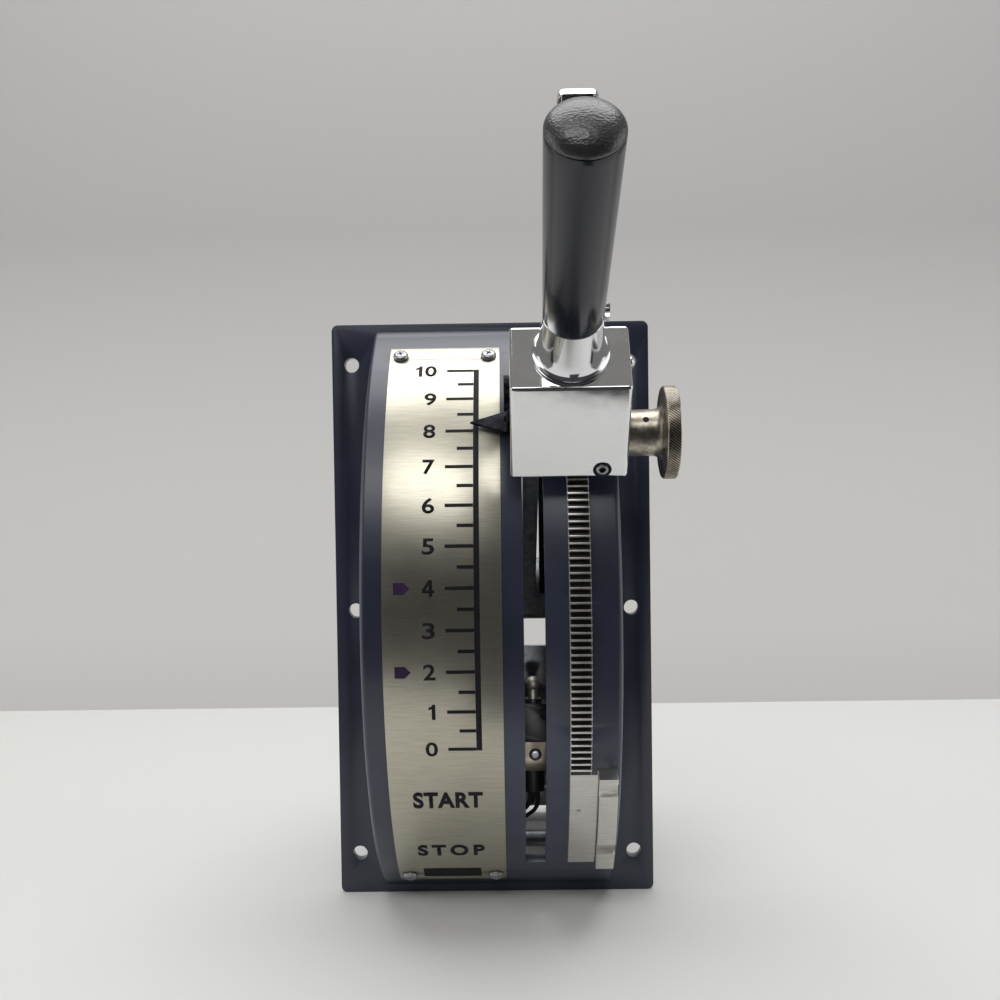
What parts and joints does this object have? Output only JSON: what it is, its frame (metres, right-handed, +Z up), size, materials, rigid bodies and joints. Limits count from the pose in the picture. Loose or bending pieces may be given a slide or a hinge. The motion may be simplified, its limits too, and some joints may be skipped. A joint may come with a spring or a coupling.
{
  "type": "engine control lever",
  "caption": "Panel-mounted engine control lever: arc housing with scale and gear rack, lever block with handle, trigger latch and fine-adjustment knob.",
  "frame": {"origin": "centre of the six-hole bolt pattern on the flange's rear face", "axes": "+X to the operator's right, +Y backwards into the panel, +Z up the scale"},
  "size_m": [0.153, 0.3158, 0.3324],
  "materials": {
    "navy_paint": "satin dark navy stove enamel",
    "plate_steel": "brushed stainless with black print",
    "bright_chrome": "polished chrome plate",
    "nickel": "satin nickel plate",
    "zinc_steel": "zinc-plated steel",
    "dark_steel": "blackened steel",
    "grey_steel": "grey steel",
    "black_plastic": "moulded black",
    "gloss_grip": "glossy black moulding",
    "grained_cap": "grained black moulding",
    "bronze": "turned bronze",
    "knob_nickel": "worn nickel over brass",
    "pad_fibre": "pressed friction fibre",
    "lead_black": "black insulation"
  },
  "bodies": {
    "housing": {"housing_casting": "navy_paint", "scale_plate": "plate_steel", "scale_screws": "nickel", "rack_sector": "bright_chrome", "rack_screws": "zinc_steel", "detent_block": "nickel", "frame_left": "zinc_steel", "frame_right": "zinc_steel", "rear_plate": "zinc_steel", "rear_screws": "dark_steel", "frame_screws": "dark_steel", "tie_rods": "zinc_steel", "tie_nuts": "zinc_steel", "shaft_bushes": "bronze", "switch_bracket": "plate_steel", "guard_strip": "dark_steel", "bracket_screws": "dark_steel", "bracket_rivet": "nickel", "stop_switch": "black_plastic", "lead_gland": "black_plastic", "start_switch": "black_plastic", "small_screws": "dark_steel", "terminal_block": "black_plastic", "terminal_screws": "nickel", "sender_body": "black_plastic", "sender_nut": "nickel", "leads": "lead_black", "brake_pad": "pad_fibre"},
    "lever": {"main_shaft": "grey_steel", "shaft_key": "grey_steel", "lever_arm": "grey_steel", "lever_block": "bright_chrome", "arm_screws": "dark_steel", "pointer": "dark_steel", "pointer_screws": "dark_steel", "handle_rod": "grey_steel", "ferrule": "bright_chrome", "grip": "gloss_grip", "grip_cap": "grained_cap", "block_bush": "bronze", "bush_set_screw": "dark_steel", "trigger_pin": "bright_chrome", "trigger_spring": "grey_steel", "switch_cam": "dark_steel", "drive_gear": "grey_steel", "brake_disc": "grey_steel", "brake_spring": "dark_steel", "brake_nut": "zinc_steel", "shaft_collar": "zinc_steel"},
    "knob": {"knob": "knob_nickel", "knob_shaft": "knob_nickel", "knob_pin": "grey_steel", "pinion": "grey_steel"},
    "trigger": {"trigger_lever": "bright_chrome", "drive_pin": "grey_steel"},
    "latch": {"latch_bar": "nickel"},
    "stop_button": {"stop_plunger": "nickel"},
    "start_button": {"start_plunger": "nickel"},
    "sender": {"sender_shaft": "grey_steel", "sender_gear": "bronze"}
  },
  "joints": [
    {"name": "lever_swing", "type": "hinge", "parent": "housing", "child": "lever", "pos_m": [0, 0.084, 0], "axis": [-1, 0, 0], "range_deg": [-73.5, 11.7]},
    {"name": "knob_turn", "type": "hinge", "parent": "lever", "child": "knob", "pos_m": [0, -0.07071, 0.08123], "axis": [-1, 0, 0], "range_deg": [-1400, 225]},
    {"name": "trigger_squeeze", "type": "hinge", "parent": "lever", "child": "trigger", "pos_m": [0, -0.08724, 0.10902], "axis": [1, 0, 0], "range_deg": [-9, 8], "stiffness_Nm_per_rad": 1.6},
    {"name": "latch_lift", "type": "slide", "parent": "lever", "child": "latch", "axis": [0, -0.8462, 0.5329], "range_m": [-0.0018, 0.0016]},
    {"name": "stop_press", "type": "slide", "parent": "housing", "child": "stop_button", "axis": [0, 0, -1], "range_m": [0, 0.003], "stiffness_N_per_m": 300},
    {"name": "start_press", "type": "slide", "parent": "housing", "child": "start_button", "axis": [0, 0, -1], "range_m": [0, 0.0025], "stiffness_N_per_m": 300},
    {"name": "sender_turn", "type": "hinge", "parent": "housing", "child": "sender", "pos_m": [0, 0.084, 0.04], "axis": [-1, 0, 0], "range_deg": [-36, 221]}
  ],
  "couplings": [
    {"joint": "knob_turn", "follows": "lever_swing", "ratio": 19},
    {"joint": "sender_turn", "follows": "lever_swing", "ratio": -3},
    {"joint": "latch_lift", "follows": "trigger_squeeze", "m_per_rad": 0.011}
  ]
}
